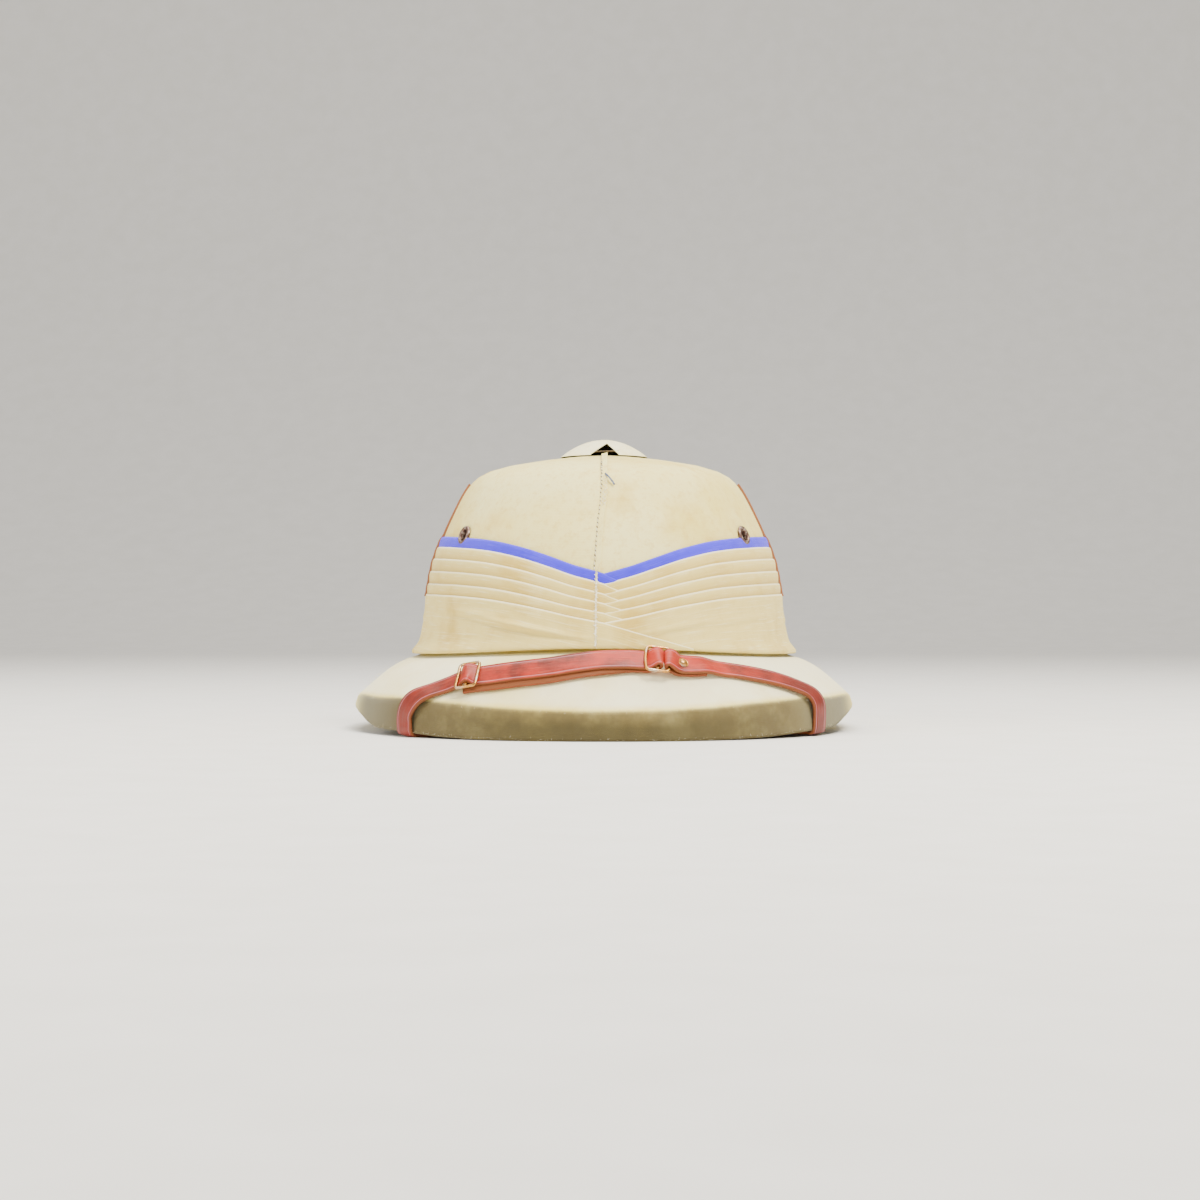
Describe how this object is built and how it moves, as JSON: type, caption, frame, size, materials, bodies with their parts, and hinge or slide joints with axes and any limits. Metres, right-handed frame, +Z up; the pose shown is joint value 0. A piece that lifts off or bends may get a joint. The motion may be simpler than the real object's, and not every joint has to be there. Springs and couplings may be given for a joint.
{
  "type": "pith helmet",
  "caption": "Cloth-covered cork sun helmet with a domed crown, sloping brim, pleated wrap with a coloured top fold, vent cap, eyelets and a leather chin strap worn over the front brim.",
  "frame": {"origin": "centre of the helmet's outline, on the surface that its rim rests on", "axes": "+Z up through the crown, -Y out of the front, +X to the right of a viewer who faces the front"},
  "size_m": [0.2884, 0.336, 0.1687],
  "materials": {
    "drill_cloth": "matt cotton drill over cork",
    "wrap_cloth": "matt fine cotton, pleated",
    "violet_cloth": "matt violet-blue cotton",
    "strap_leather": "worn semi-gloss, creased along the edges",
    "strip_leather": "worn tan",
    "strap_metal": "worn plated brass",
    "bronze_eyelet": "darkened bronze"
  },
  "bodies": {
    "root": {"helmet_shell": "drill_cloth", "puggaree_top_fold": "violet_cloth", "puggaree_fold_1": "wrap_cloth", "puggaree_fold_2": "wrap_cloth", "puggaree_fold_3": "wrap_cloth", "puggaree_fold_4": "wrap_cloth", "puggaree_band": "wrap_cloth", "eyelet_left": "bronze_eyelet", "eyelet_right": "bronze_eyelet", "vent_cap": "drill_cloth", "front_seam": "drill_cloth", "side_strip_left": "strip_leather", "side_strip_right": "strip_leather", "strap_left": "strap_leather", "strap_right": "strap_leather", "strap_slide": "strap_metal", "strap_ring": "strap_metal", "strap_stud": "strap_metal", "strap_anchor_left": "strap_metal", "strap_anchor_right": "strap_metal"}
  },
  "joints": []
}
